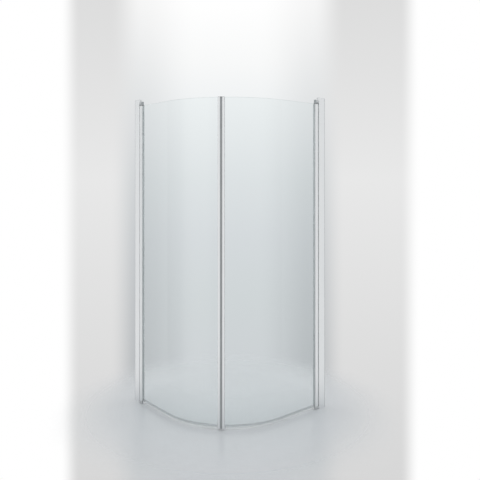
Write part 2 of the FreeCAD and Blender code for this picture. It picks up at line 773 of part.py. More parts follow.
def magnet_strip():
    """Flexible magnet in the carrier's chamber, which draws the two doors together."""
    body = start("magnet_strip", by_meeting)
    wall, gap = "Size.carrier_wall", "Size.gasket_gap"
    half = f"Size.carrier_depth / 2 - Size.carrier_side - {gap}"
    strip = band(f"Place.carrier_back + {wall} + {gap}", f"Place.meeting - {wall} - {gap}", half)
    section = draw(body, "section", loops=[strip], at="Size.closing_lift")
    pad(body, section, "Place.glass_top - Size.closing_lift")


def closing_cap(name, plate_low, peg_low):
    """Moulded cap over the end of the closing profile, with two pegs in its voids."""
    body = start(name, by_meeting)
    half, gap = "Place.closing_half", "Size.cap_gap"
    plate = draw(body, "plate", loops=[band("Place.closing_back", "Place.meeting", half)], at=plate_low)
    pad(body, plate, "Size.closing_cap")
    low, high = f"Place.slot_half + Size.void_wall + {gap}", f"Place.closing_half - Size.void_wall - {gap}"
    first = f"Place.closing_back + Size.void_wall + {gap}"
    last = f"Place.closing_front - Size.void_wall - {gap}"
    pegs = [rectangle(first, low, last, high), rectangle(first, minus(low), last, minus(high))]
    pad(body, draw(body, "pegs", loops=pegs, at=peg_low), "Size.cap_skirt")
    soften(body, "Size.closing_rounding", [("Place.closing_back", half), ("Place.closing_back", minus(half))])


# ---------------------------------------------------------------- make the left-hand set

wall_channel()
frame_profile()
adjusting_place = [("Size.adjust_screw_place", "Size.adjust_screw_inset")]
channel_grip = "Size.frame_wall + Size.slide_gap + Size.channel_wall + Size.screw_reach"
adjusting_count, adjusting_pitch = "Size.adjust_count", "Place.adjust_pitch"
screws("adjusting_screws", adjusting_place, channel_grip, "Place.face", adjusting_count, adjusting_pitch)
screw_covers()
frame_cap()
top_arm = hinge_arm("top_hinge_arm", "Place.arm_low", "Place.arm_high", "Place.arm_round", "Place.pin_top")
top_housing(top_arm)
hinge_arm("bottom_hinge_arm", "Place.foot_low", "Place.foot_high", "Place.pivot", "Place.foot_high")
tongue_grip = "Size.frame_wall + Size.tongue_gap + Place.tongue_half / 2"
top_places = arm_screw_places("Place.arm_low", "Place.arm_high")
screws("top_arm_screws", top_places, tongue_grip, "Place.face")
bottom_places = arm_screw_places("Place.foot_low", "Place.foot_high")
screws("bottom_arm_screws", bottom_places, tongue_grip, "Place.face")
pivot_pin(
    "top_pivot_pin",
    "Place.glass_top - Size.pin_reach",
    "Place.pin_top - Place.glass_top + Size.pin_reach",
)
pivot_pin("bottom_pivot_pin", "Place.foot_low", "Place.hinge_low - Place.foot_low + Size.pin_reach")
thrust_washer()
gap_seal()
hinge_profile()
high_plug = "Place.hinge_top - Size.bush_length"
pivot_bush("top_bush", "Place.hinge_top", high_plug, high_plug)
low_plate = "Place.hinge_low - Size.cap_plate"
pivot_bush("bottom_bush", low_plate, "Place.hinge_low", low_plate)
glass()
glazing_gasket("outer_glazing_gasket", "-1")
glazing_gasket("inner_glazing_gasket", "1")
closing_profile()
edge_gasket("outer_edge_gasket", "-1")
edge_gasket("inner_edge_gasket", "1")
magnet_carrier()
magnet_strip()
closing_cap("closing_top_cap", "Place.glass_top", "Place.glass_top - Size.cap_skirt")
closing_cap("closing_bottom_cap", "Size.closing_lift - Size.closing_cap", "Size.closing_lift")
bottom_seal()

# ---------------------------------------------------------------- mirror it, check it and write it out

subparts = list(LEFT.values())
for name, body in LEFT.items():
    twin = doc.addObject("Part::Mirroring", "right_" + name)
    twin.Source = body
    twin.Base = V(0, 0, 0)
    twin.Normal = V(1, 1, 0)
    twin.Label = "right_" + name
    subparts.append(twin)
doc.recompute()

for thing in doc.Objects:
    if {"Invalid", "Error"} & set(thing.State):
        raise RuntimeError(f"{thing.Label} failed: {thing.State}")
for thing in subparts:
    if thing.Shape.isNull() or not thing.Shape.isValid() or not thing.Shape.Solids:
        raise RuntimeError(f"{thing.Label} has no sound shape")

os.makedirs("parts", exist_ok=True)
for thing in subparts:
    thing.Shape.exportStep(f"parts/{thing.Label}.step")
    print(f"{thing.Label}: {len(thing.Shape.Solids)} solids, {thing.Shape.Volume / 1000:.1f} cm3")
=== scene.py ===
"""Quadrant shower enclosure: two doors of bent glass that turn on wall profiles and meet in the middle."""

import math

import bpy
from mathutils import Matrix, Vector


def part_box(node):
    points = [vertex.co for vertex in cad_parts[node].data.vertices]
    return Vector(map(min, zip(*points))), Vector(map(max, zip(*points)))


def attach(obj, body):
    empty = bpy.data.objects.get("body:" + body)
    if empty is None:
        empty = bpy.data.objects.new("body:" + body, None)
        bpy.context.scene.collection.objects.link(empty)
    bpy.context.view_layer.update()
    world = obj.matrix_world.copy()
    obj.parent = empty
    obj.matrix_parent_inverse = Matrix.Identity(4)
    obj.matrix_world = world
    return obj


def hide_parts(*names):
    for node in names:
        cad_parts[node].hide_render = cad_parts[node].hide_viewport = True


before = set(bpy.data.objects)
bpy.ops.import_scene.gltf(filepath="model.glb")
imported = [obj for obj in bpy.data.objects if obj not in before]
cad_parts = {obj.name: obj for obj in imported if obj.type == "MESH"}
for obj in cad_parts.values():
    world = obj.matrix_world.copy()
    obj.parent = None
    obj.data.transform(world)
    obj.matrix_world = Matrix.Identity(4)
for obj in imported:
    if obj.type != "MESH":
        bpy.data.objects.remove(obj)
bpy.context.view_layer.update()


# ---------------------------------------------------------------- wall channels
# U-shaped lengths of extruded aluminium, screwed to the two walls and hidden by the frame profiles.
# They are left as they come from the die: bluish silver with long drawn lines and a dull sheen.

MM = 0.001
SIDES = ("left", "right")
RGBA = {"data_type": "RGBA"}


def linear(hex_colour):
    """An sRGB colour, written #rrggbb, as linear red, green, blue and alpha."""
    parts = [int(hex_colour[i : i + 2], 16) / 255 for i in (1, 3, 5)]
    return [c / 12.92 if c <= 0.04045 else ((c + 0.055) / 1.055) ** 2.4 for c in parts] + [1]


def node(tree, kind, settings=(), inputs=()):
    """A new node with its settings; an input takes a value, a socket, or a node by its first live output."""
    made = tree.nodes.new("ShaderNode" + kind)
    for key, value in dict(settings).items():
        setattr(made, key, value)
    for key, value in dict(inputs).items():
        if isinstance(value, bpy.types.Node):
            value = next(output for output in value.outputs if output.enabled)
        if isinstance(value, bpy.types.NodeSocket):
            tree.links.new(value, made.inputs[key])
        else:
            made.inputs[key].default_value = value
    return made


def new_material(name):
    """An empty material, its node tree and its object coordinates."""
    material = bpy.data.materials.new(name)
    material.use_nodes = True
    tree = material.node_tree
    tree.nodes.clear()
    place = node(tree, "TexCoord").outputs["Object"]
    return material, tree, place


def pattern(tree, place, wide, tall, detail):
    """Uneven patches from 0 to 1, each about wide mm across and tall mm high."""
    scale = (1 / (wide * MM), 1 / (wide * MM), 1 / (tall * MM))
    stretched = node(tree, "Mapping", inputs={"Vector": place, "Scale": scale})
    return node(tree, "TexNoise", inputs={"Vector": stretched, "Scale": 1, "Detail": detail})


def extruded_aluminium(name, light, dark, shine, dull, line_height):
    """Metal from a die: lines about 1 mm apart, coarser than real so that they show, run its length."""
    material, tree, place = new_material(name)
    lines = pattern(tree, place, 1.2, 900, 3)
    cloud = pattern(tree, place, 50, 300, 2)
    colour = node(tree, "Mix", RGBA, {"Factor": cloud, "A": linear(dark), "B": linear(light)})
    rough = node(tree, "MapRange", inputs={"Value": lines, "To Min": shine, "To Max": dull})
    bump = node(tree, "Bump", inputs={"Height": lines, "Strength": 0.35, "Distance": line_height * MM})
    shader = node(
        tree,
        "BsdfPrincipled",
        inputs={"Base Color": colour, "Metallic": 1, "Roughness": rough, "Normal": bump},
    )
    node(tree, "OutputMaterial", inputs={"Surface": shader})
    return material


def paint(material, *names):
    """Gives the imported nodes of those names, left and right, this finish."""
    for side in SIDES:
        for name in names:
            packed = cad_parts[f"{side}_{name}"]
            for k in range(len(packed.material_slots)):
                packed.material_slots[k].material = material


paint(extruded_aluminium("mill finish aluminium", "#c9cccd", "#b9bcbe", 0.3, 0.5, 0.05), "wall_channel")


# ---------------------------------------------------------------- frame, hinge and closing profiles
# Aluminium extrusions: the frame profiles slide over the channels to take up a wall that isn't plumb, and
# the other two edge each door. Etched and anodised silver: a pale satin bloom, even from end to end,
# over very fine upright lines.

anodised_aluminium = extruded_aluminium("satin anodised aluminium", "#f3f4f4", "#eceeef", 0.38, 0.52, 0.02)
paint(anodised_aluminium, "frame_profile", "hinge_profile", "closing_profile")


# ---------------------------------------------------------------- frame caps
# Caps of pale grey ABS pressed into the tops of the frame profiles. Injection moulded: softened edges,
# a skirt that is hollow underneath, and the fine even grain of a spark-eroded mould.

FACE_PLANE = -433 * MM  # middle of the left-hand profiles, between their outer and inner faces
HALF_DEPTH = 12  # from there to each face
FRAME_WALL, FRAME_END = -440, -388  # where a frame profile starts beside the wall, and where it ends


def moulded_plastic(name, light, dark, shine, dull, grain=0.9):
    """Spark-eroded mould grain: tenths of a millimetre in truth, drawn at about 1 mm so that it shows."""
    material, tree, place = new_material(name)
    speck = pattern(tree, place, grain, grain, 4)
    flow = pattern(tree, place, 14, 20, 2)
    bump = node(tree, "Bump", inputs={"Height": speck, "Strength": 0.4, "Distance": 0.03 * MM})
    shader = node(
        tree,
        "BsdfPrincipled",
        inputs={
            "Base Color": node(tree, "Mix", RGBA, {"Factor": flow, "A": linear(dark), "B": linear(light)}),
            "Roughness": node(tree, "MapRange", inputs={"Value": speck, "To Min": shine, "To Max": dull}),
            "Normal": bump,
        },
    )
    node(tree, "OutputMaterial", inputs={"Surface": shader})
    return material


def deselect():
    if bpy.context.mode != "OBJECT":
        bpy.ops.object.mode_set(mode="OBJECT")
    bpy.ops.object.select_all(action="DESELECT")


def drawn_face(name, points):
    """A flat face drawn from corner to corner, left in edit mode with all of it selected."""
    deselect()
    points = [Vector(p) for p in points]
    bpy.ops.mesh.primitive_plane_add(size=MM, location=points[0])
    piece = bpy.context.object
    piece.name = piece.data.name = name
    bpy.ops.object.transform_apply(location=True, rotation=True, scale=True)
    bpy.ops.object.mode_set(mode="EDIT")
    bpy.ops.mesh.select_mode(type="VERT")
    bpy.ops.mesh.select_all(action="SELECT")
    bpy.ops.mesh.merge(type="CENTER")
    for here, after in zip(points, points[1:]):
        bpy.ops.mesh.extrude_region_move(TRANSFORM_OT_translate={"value": after - here})
    bpy.ops.mesh.select_all(action="SELECT")
    bpy.ops.mesh.edge_face_add()
    return piece


def closed(piece):
    """Leaves edit mode with doubles merged and faces pointing outwards."""
    bpy.ops.mesh.select_all(action="SELECT")
    bpy.ops.mesh.remove_doubles(threshold=0.002 * MM)
    bpy.ops.mesh.normals_make_consistent(inside=False)
    bpy.ops.object.mode_set(mode="OBJECT")
    return piece


def standing(name, corners, low, high):
    """An outline of (across, outwards) corners in mm, seen from above, raised from low to high."""
    points = [(x * MM, FACE_PLANE - out * MM, low) for x, out in corners]
    piece = drawn_face(name, points)
    bpy.ops.mesh.extrude_region_move(TRANSFORM_OT_translate={"value": (0, 0, high - low)})
    return closed(piece)


def block(name, start, end, half, low, high):
    """A straight block from start to end and half to each side, in mm, standing from low to high."""
    return standing(name, [(start, half), (end, half), (end, -half), (start, -half)], low, high)


def pick(piece, kind):
    """Makes it the active piece with nothing of its mesh selected, ready to pick that kind of element."""
    deselect()
    piece.select_set(True)
    bpy.context.view_layer.objects.active = piece
    bpy.ops.object.mode_set(mode="EDIT")
    bpy.ops.mesh.select_mode(type=kind)
    bpy.ops.mesh.select_all(action="DESELECT")
    bpy.ops.object.mode_set(mode="OBJECT")


def pick_edges(piece, wanted):
    """Edit mode with only those edges selected whose two ends the test wanted accepts."""
    pick(piece, "EDGE")
    corners = piece.data.vertices
    for edge in piece.data.edges:
        edge.select = wanted(*(corners[k].co for k in edge.vertices))
    bpy.ops.object.mode_set(mode="EDIT")


def pick_faces(piece, wanted):
    """Edit mode with only those faces selected whose normal and middle the test wanted accepts."""
    pick(piece, "FACE")
    for face in piece.data.polygons:
        face.select = wanted(face.normal, face.center)
    bpy.ops.object.mode_set(mode="EDIT")


def rounded(piece, width, segments, wanted):
    """Bevels the edges that the test wanted accepts."""
    pick_edges(piece, wanted)
    bpy.ops.mesh.bevel(offset=width * MM, segments=segments, affect="EDGES")
    return closed(piece)


def upright_edge(one, other):
    return abs(one.z - other.z) > 0.5 * MM


def eased(piece, width, segments=2, angle=30):
    """Rounds the sharp edges and shades the rest smooth."""
    deselect()
    piece.select_set(True)
    bpy.context.view_layer.objects.active = piece
    bevel = piece.modifiers.new("Bevel", "BEVEL")
    bevel.width = width * MM
    bevel.segments = segments
    bevel.limit_method = "ANGLE"
    bevel.angle_limit = math.radians(angle)
    bpy.ops.object.modifier_apply(modifier="Bevel")
    bpy.ops.object.shade_smooth_by_angle(angle=math.radians(50))
    return piece


def joined(piece, *others):
    """One piece out of several."""
    deselect()
    for other in others:
        other.select_set(True)
    piece.select_set(True)
    bpy.context.view_layer.objects.active = piece
    bpy.ops.object.join()
    return piece


def twin(piece):
    """The right-hand copy, mirrored in the plane through the corner and the meeting edge."""
    deselect()
    copy = piece.copy()
    copy.data = piece.data.copy()
    bpy.context.scene.collection.objects.link(copy)
    copy.name = copy.data.name = piece.name.replace("left_", "right_")
    copy.select_set(True)
    bpy.context.view_layer.objects.active = copy
    copy.scale = (-1, 1, 1)
    copy.rotation_euler = (0, 0, math.radians(90))
    bpy.ops.object.transform_apply(location=True, rotation=True, scale=True)
    bpy.ops.object.mode_set(mode="EDIT")
    bpy.ops.mesh.select_all(action="SELECT")
    bpy.ops.mesh.normals_make_consistent(inside=False)
    bpy.ops.object.mode_set(mode="OBJECT")
    return copy


def fit(piece, material, body="door", rim=None):
    """Both copies of a left-hand piece ride on their bodies, in place of the node they are named after.

    A rim is the material of the faces that look up or down.
    """
    piece.data.materials.clear()
    piece.data.materials.append(material)
    if rim:
        piece.data.materials.append(rim)
        for face in piece.data.polygons:
            face.material_index = 1 if abs(face.normal.z) > 0.3 else 0
    for side, copy in (("left", piece), ("right", twin(piece))):
        deselect()
        copy.select_set(True)
        bpy.context.view_layer.objects.active = copy
        level = copy.modifiers.new("Level faces", "WEIGHTED_NORMAL")
        level.keep_sharp = True
        level.weight = 100
        bpy.ops.object.modifier_apply(modifier="Level faces")
        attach(copy, "root" if body == "root" else f"{side}_door")
        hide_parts(copy.name.replace("_piece", ""))


low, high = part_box("left_frame_cap")
plate_low = high.z - 2 * MM
cap = block("left_frame_cap_piece", FRAME_WALL, FRAME_END, HALF_DEPTH, plate_low, high.z)
rounded(cap, 1.2, 4, upright_edge)
eased(cap, 0.5)
skirt_start, skirt_end, skirt_half = -412.2, -393.3, 10.2
skirt = block("skirt", skirt_start, skirt_end, skirt_half, low.z, plate_low + 0.4 * MM)
rounded(skirt, 1, 3, upright_edge)
pick_faces(skirt, lambda normal, middle: normal.z < -0.9)
bpy.ops.mesh.inset(thickness=1.4 * MM)
bpy.ops.mesh.extrude_region_move(TRANSFORM_OT_translate={"value": (0, 0, 11 * MM)})
closed(skirt)
eased(skirt, 0.25, 1)
joined(cap, skirt)
pale_abs = moulded_plastic("moulded ABS, silver grey", "#e4e6e6", "#dcdfe0", 0.36, 0.5)
fit(cap, pale_abs, body="root")


# ---------------------------------------------------------------- adjusting screws
# M4 pan-head screws of stainless steel, driven from the inside with a hexagon key. Cold headed and
# rolled: a bright, lightly brushed head with a round crown and a six-sided socket.


def brushed_steel(name, light, dark, shine, dull):
    """Turning and polishing marks: hair lines a few tenths of a millimetre apart that run round the part."""
    material, tree, place = new_material(name)
    hair = pattern(tree, place, 2.5, 0.35, 3)
    cloud = pattern(tree, place, 3, 3, 2)
    bump = node(tree, "Bump", inputs={"Height": hair, "Strength": 0.4, "Distance": 0.02 * MM})
    shader = node(
        tree,
        "BsdfPrincipled",
        inputs={
            "Base Color": node(tree, "Mix", RGBA, {"Factor": cloud, "A": linear(dark), "B": linear(light)}),
            "Metallic": 1,
            "Roughness": node(tree, "MapRange", inputs={"Value": hair, "To Min": shine, "To Max": dull}),
            "Normal": bump,
        },
    )
    node(tree, "OutputMaterial", inputs={"Surface": shader})
    return material


steel = brushed_steel("stainless steel", "#cdcfd0", "#b9bcbe", 0.2, 0.38)


def turned(name, rings, place=(0, 0, 0)):
    """A round body built up from (height, radius) rings in mm, with flat ends."""
    deselect()
    height, radius = rings[0]
    start = (0, 0, height * MM)
    bpy.ops.mesh.primitive_circle_add(vertices=48, radius=radius * MM, fill_type="NGON", location=start)
    body = bpy.context.object
    body.name = body.data.name = name
    bpy.ops.object.transform_apply(location=True, rotation=True, scale=True)
    bpy.ops.object.mode_set(mode="EDIT")
    bpy.ops.mesh.select_mode(type="VERT")
    bpy.ops.mesh.select_all(action="SELECT")
    for next_height, next_radius in rings[1:]:
        rise = (next_height - height) * MM
        bpy.ops.mesh.extrude_region_move(TRANSFORM_OT_translate={"value": (0, 0, rise)})
        share = next_radius / radius
        bpy.ops.transform.resize(value=(share, share, 1), center_override=(0, 0, 0))
        height, radius = next_height, next_radius
    closed(body)
    body.location = place
    bpy.ops.object.transform_apply(location=True, rotation=True, scale=True)
    return body


def pan_head_screw(name, place, shank):
    """A screw whose head bears at place, (across, up) on the inner face, its shank going outwards."""
    rings = [(0, 1.6), (0.4, 2), (shank, 2), (shank, 2.85), (shank + 0.15, 3), (shank + 0.9, 3)]
    rings += [(shank + 1.4, 2.85), (shank + 1.75, 2.45), (shank + 1.95, 1.9), (shank + 2, 1.45)]
    screw = turned(name, rings)
    top = rings[-1][0] * MM
    pick_faces(screw, lambda normal, middle: middle.z > top - 0.01 * MM)
    bpy.ops.mesh.delete(type="ONLY_FACE")
    bpy.ops.mesh.primitive_circle_add(vertices=6, radius=1.25 * MM, fill_type="NOTHING", location=(0, 0, top))
    pick_edges(screw, lambda *ends: min(end.z for end in ends) > top - 0.01 * MM)
    bpy.ops.mesh.bridge_edge_loops()
    pick_edges(screw, lambda *ends: all(end.z > top - 0.01 * MM and end.xy.length < 1.3 * MM for end in ends))
    bpy.ops.mesh.edge_face_add()
    bpy.ops.mesh.extrude_region_move(TRANSFORM_OT_translate={"value": (0, 0, -1.2 * MM)})
    closed(screw)
    bpy.ops.object.shade_smooth_by_angle(angle=math.radians(40))
    screw.rotation_euler = (math.radians(-90), 0, 0)
    screw.location = (place[0] * MM, FACE_PLANE + (HALF_DEPTH - shank) * MM, place[1] * MM)
    bpy.ops.object.transform_apply(location=True, rotation=True, scale=True)
    return screw


ADJUSTING_LINE, ADJUSTING_SHANK = -427, 5.35
low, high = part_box("left_adjusting_screws")
head_radius = 3
adjust_heights = [low.z / MM + head_radius, (low.z + high.z) / 2 / MM, high.z / MM - head_radius]
names = ("left_adjusting_screws_piece", "screw", "screw")
row = [pan_head_screw(name, (ADJUSTING_LINE, z), ADJUSTING_SHANK) for name, z in zip(names, adjust_heights)]
fit(joined(*row), steel, body="root")


# ---------------------------------------------------------------- screw covers
# Low oblong covers of the same ABS, clipped over the adjusting screws on the inner face. Moulded with
# a wall of 0.8 mm, hollow behind, their rims rounded so that water and a cloth run off.

low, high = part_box("left_screw_covers")
cover_half = 4.4 * MM
middle = low.z + cover_half
corners = [(low.x, low.y, middle - cover_half), (high.x, low.y, middle - cover_half)]
corners += [(high.x, low.y, middle + cover_half), (low.x, low.y, middle + cover_half)]
cover = drawn_face("left_screw_covers_piece", corners)
bpy.ops.mesh.extrude_region_move(TRANSFORM_OT_translate={"value": (0, high.y - low.y, 0)})
closed(cover)
rounded(cover, 3, 6, lambda one, other: abs(one.y - other.y) > MM)
rounded(cover, 0.9, 3, lambda one, other: min(one.y, other.y) > high.y - 0.1 * MM)
pick_faces(cover, lambda normal, middle: normal.y < -0.9)
bpy.ops.mesh.inset(thickness=0.8 * MM)
bpy.ops.mesh.extrude_region_move(TRANSFORM_OT_translate={"value": (0, 2.2 * MM, 0)})
closed(cover)
bpy.ops.object.shade_smooth_by_angle(angle=math.radians(50))
copies = []
for z in adjust_heights[1:]:
    deselect()
    cover.select_set(True)
    bpy.context.view_layer.objects.active = cover
    bpy.ops.object.duplicate()
    bpy.context.object.location.z = z * MM - middle
    bpy.ops.object.transform_apply(location=True, rotation=True, scale=True)
    copies.append(bpy.context.object)
fit(joined(cover, *copies), pale_abs, body="root")


# ---------------------------------------------------------------- top hinge arms
# Zinc die castings: a flat arm whose tongue is screwed inside the frame profile, with an upright round
# housing over the pivot. Powder coated mid grey, so the surface has a fine orange peel.


def powder_coat(name, light, dark, shine, dull):
    """Baked powder: an orange peel about 1.5 mm from crest to crest over a faintly speckled colour."""
    material, tree, place = new_material(name)
    peel = pattern(tree, place, 1.5, 1.5, 2)
    speck = pattern(tree, place, 0.5, 0.5, 2)
    bump = node(tree, "Bump", inputs={"Height": peel, "Strength": 0.5, "Distance": 0.06 * MM})
    shader = node(
        tree,
        "BsdfPrincipled",
        inputs={
            "Base Color": node(tree, "Mix", RGBA, {"Factor": speck, "A": linear(dark), "B": linear(light)}),
            "Metallic": 0.35,
            "Roughness": node(tree, "MapRange", inputs={"Value": peel, "To Min": shine, "To Max": dull}),
            "Normal": bump,
        },
    )
    node(tree, "OutputMaterial", inputs={"Surface": shader})
    return material


ARM_HALF, TONGUE_HALF = 11.4, 10.35  # half widths of an arm and of its tongue
TONGUE_START = -406
TOP_ARM_END = -356.6


def hinge_arm(name, end, low, high):
    """An arm that is round over the pivot, with the narrower tongue that goes into the frame profile."""
    arm = block(name, FRAME_END + 0.2, end, ARM_HALF, low, high)
    rounded(arm, ARM_HALF, 18, lambda one, other: upright_edge(one, other) and one.x > (end - 10) * MM)
    eased(arm, 0.8, 3)
    tongue = block("tongue", TONGUE_START, FRAME_END + 1, TONGUE_HALF, low + 0.05 * MM, high - 0.05 * MM)
    return arm, eased(tongue, 0.4)


low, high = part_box("left_top_hinge_arm")
arm_high = low.z + 9 * MM
arm, tongue = hinge_arm("left_top_hinge_arm_piece", TOP_ARM_END, low.z, arm_high)
rise = (high.z - arm_high) / MM
housing_centre, housing_radius = -365.5, 8.5
rings = [(-0.5, housing_radius), (rise - 1.5, housing_radius), (rise - 1.12, 8.45), (rise - 0.7, 8.27)]
rings += [(rise - 0.35, 7.98), (rise - 0.12, 7.6), (rise - 0.03, 7.2), (rise, 6.8)]
housing = turned("housing", rings, (housing_centre * MM, FACE_PLANE, arm_high))
bpy.ops.object.shade_smooth_by_angle(angle=math.radians(30))
joined(arm, tongue, housing)
mid_grey = powder_coat("powder-coated zinc, mid grey", "#a9adaf", "#9da1a3", 0.4, 0.52)
fit(arm, mid_grey, body="root")


# ---------------------------------------------------------------- top and bottom arm screws
# The same pan-head screws of stainless steel, cold headed and rolled. Two of them go through the inner
# face of the frame profile into the tongue of each arm.

ARM_SCREW_LINES, ARM_SCREW_SHANK = (-403, -396), 6.83
for node_name in ("top_arm_screws", "bottom_arm_screws"):
    low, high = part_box(f"left_{node_name}")
    height = (low.z + high.z) / 2 / MM
    names = (f"left_{node_name}_piece", "screw")
    pair = [pan_head_screw(name, (x, height), ARM_SCREW_SHANK) for name, x in zip(names, ARM_SCREW_LINES)]
    fit(joined(*pair), steel, body="root")


# ---------------------------------------------------------------- pivot pins
# Stainless pins of 8 mm, turned with a lead-in at each end, pressed into the arms. Only a sliver shows
# between arm and door, with the fine rings that the lathe leaves.

paint(steel, "top_pivot_pin", "bottom_pivot_pin")


# ---------------------------------------------------------------- bottom hinge arms
# Plain zinc castings without a housing, just above the floor. Powder coated light silver, which goes
# with the profiles, and drawn paler still: painted light that offsets the shade near the floor.

low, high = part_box("left_bottom_hinge_arm")
BOTTOM_ARM_END = -358.6
foot = joined(*hinge_arm("left_bottom_hinge_arm_piece", BOTTOM_ARM_END, low.z, high.z))
# Paler than the top arms: partly the coat's own silver, partly painted light against the shade by the floor.
silver_with_painted_light = powder_coat("powder-coated zinc, light silver", "#d6d8d9", "#cacdce", 0.34, 0.46)
fit(foot, silver_with_painted_light, body="root")


# ---------------------------------------------------------------- thrust washers
# Acetal rings, pale grey, that lie on the bottom arms round the pins and carry the doors. They are
# machined from rod, which gives a waxy, even sheen. Their pale grey, shared with the bottom bushes, is
# painted light: lighter than the top bushes, to offset the shade near the floor.


def waxy_plastic(name, light, dark, shine, dull):
    """Acetal: slightly see-through at its edges, with turning rings about 0.4 mm apart."""
    material, tree, place = new_material(name)
    rings = pattern(tree, place, 4, 0.4, 2)
    bump = node(tree, "Bump", inputs={"Height": rings, "Strength": 0.25, "Distance": 0.02 * MM})
    shader = node(
        tree,
        "BsdfPrincipled",
        inputs={
            "Base Color": node(tree, "Mix", RGBA, {"Factor": rings, "A": linear(dark), "B": linear(light)}),
            "Roughness": node(tree, "MapRange", inputs={"Value": rings, "To Min": shine, "To Max": dull}),
            "Normal": bump,
            "Subsurface Weight": 0.1,
            "Subsurface Scale": 1.5 * MM,
        },
    )
    node(tree, "OutputMaterial", inputs={"Surface": shader})
    return material


# Painted light: a paler grey than the top bushes, which offsets the shade near the floor.
acetal_with_painted_light = waxy_plastic("pale grey acetal", "#c6c9ca", "#bbbebf", 0.3, 0.42)
low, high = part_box("left_thrust_washer")
section = [(4.2, 0.25), (4.45, 0), (7.7, 0), (8, 0.3), (8, 1.65), (7.7, 1.95), (4.45, 1.95), (4.2, 1.7)]
pivot = (low + high) / 2
points = [(pivot.x + r * MM, pivot.y, low.z + z * MM) for r, z in section]
washer = drawn_face("left_thrust_washer_piece", points)
bpy.ops.mesh.delete(type="ONLY_FACE")
bpy.ops.mesh.select_all(action="SELECT")
bpy.ops.mesh.spin(steps=48, angle=math.radians(360), center=pivot, axis=(0, 0, -1))
closed(washer)
bpy.ops.object.shade_smooth_by_angle(angle=math.radians(30))
fit(washer, acetal_with_painted_light, body="root")


# ---------------------------------------------------------------- gap seals
# Soft extruded vinyl strips, pulled into the groove of each frame profile, that close the gap to the
# turning hinge profile. Vinyl of a milky near white: partly its own colour, partly painted light that
# offsets the shade in the crevice beside it. Faint flow lines run from end to end.


def soft_extrusion(name, light, dark, shine, dull):
    """Extruded vinyl or rubber: flow lines 2 mm apart along its length, which is faintly uneven."""
    material, tree, place = new_material(name)
    flow = pattern(tree, place, 2, 400, 2)
    wave = pattern(tree, place, 30, 60, 1)
    bump = node(tree, "Bump", inputs={"Height": flow, "Strength": 0.4, "Distance": 0.04 * MM})
    shader = node(
        tree,
        "BsdfPrincipled",
        inputs={
            "Base Color": node(tree, "Mix", RGBA, {"Factor": wave, "A": linear(dark), "B": linear(light)}),
            "Roughness": node(tree, "MapRange", inputs={"Value": flow, "To Min": shine, "To Max": dull}),
            "Normal": bump,
        },
    )
    node(tree, "OutputMaterial", inputs={"Surface": shader})
    return material


# The near white is partly painted light, offsetting the shade in the crevice.
paint(soft_extrusion("milky vinyl", "#f0f2f2", "#e8eaeb", 0.35, 0.5), "gap_seal")


# ---------------------------------------------------------------- bushes
# Acetal plugs with a flat head, pressed into the ends of the hinge profiles, which turn on the pins. The
# top ones are a darker grey than the bottom ones and the washers, whose paler grey is painted light that
# offsets the shade near the floor.

paint(waxy_plastic("mid grey acetal", "#8d9092", "#828587", 0.3, 0.42), "top_bush")
# The bottom ones get the paler grey: painted light against the shade near the floor.
paint(acetal_with_painted_light, "bottom_bush")


# ---------------------------------------------------------------- glass
# Toughened float glass, 6 mm, flat beside the wall and bent round the corner. Clear with the faint
# blue-grey of a coated pane. Its edges are ground, so they are duller and hold the light.

GLASS_HALF = 3 * MM
BEND_CENTRE = (-64 * MM, 64 * MM, 0)
GLASS_TURN = 43.58  # degrees round the bend, to the edge inside the closing profile


def along_glass(name, section, start, turn):
    """A section of (across, height) points, run from x = start along the flat and then round the bend."""
    piece = drawn_face(name, [(start, FACE_PLANE + y, z) for y, z in section])
    flat = BEND_CENTRE[0] - start
    bpy.ops.mesh.extrude_region_move(TRANSFORM_OT_translate={"value": (flat, 0, 0)})
    bpy.ops.mesh.spin(steps=56, angle=math.radians(turn), center=BEND_CENTRE, axis=(0, 0, -1))
    return closed(piece)


def toughened_glass():
    """Lets lamp light through with the pane's own tint, so that the floor behind it isn't left dark."""
    material, tree, place = new_material("toughened float glass")
    haze = pattern(tree, place, 70, 240, 2)
    shader = node(
        tree,
        "BsdfPrincipled",
        inputs={
            "Base Color": linear("#f9fcfc"),
            "Roughness": node(tree, "MapRange", inputs={"Value": haze, "To Min": 0.0, "To Max": 0.015}),
            "IOR": 1.52,
            "Transmission Weight": 1,
        },
    )
    clear = node(tree, "BsdfTransparent", inputs={"Color": linear("#ebf1f2")})
    ray = node(tree, "LightPath").outputs["Is Shadow Ray"]
    mix = node(tree, "MixShader", inputs={0: ray, 1: shader, 2: clear})
    node(tree, "OutputMaterial", inputs={"Surface": mix})
    return material


def ground_edge():
    """Edges ground with a diamond wheel: paler and duller than the faces, with a green-grey tint."""
    material, tree, place = new_material("ground glass edge")
    marks = pattern(tree, place, 1.5, 1.5, 3)
    colour = node(tree, "Mix", RGBA, {"Factor": marks, "A": linear("#cfdcda"), "B": linear("#dbe6e4")})
    shader = node(
        tree,
        "BsdfPrincipled",
        inputs={
            "Base Color": colour,
            "Roughness": node(tree, "MapRange", inputs={"Value": marks, "To Min": 0.3, "To Max": 0.5}),
            "IOR": 1.52,
            "Transmission Weight": 0.35,
        },
    )
    node(tree, "OutputMaterial", inputs={"Surface": shader})
    return material


low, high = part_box("left_glass")
section = [(-GLASS_HALF, low.z), (-GLASS_HALF, high.z), (GLASS_HALF, high.z), (GLASS_HALF, low.z)]
glass = along_glass("left_glass_piece", section, low.x, GLASS_TURN)
eased(glass, 0.8)
fit(glass, toughened_glass(), rim=ground_edge())


# ---------------------------------------------------------------- glazing gaskets
# Light grey EPDM strips pushed in beside the glass, whose flange hides the mouth of the slot. The lip that
# shows is rounded by its own softness.

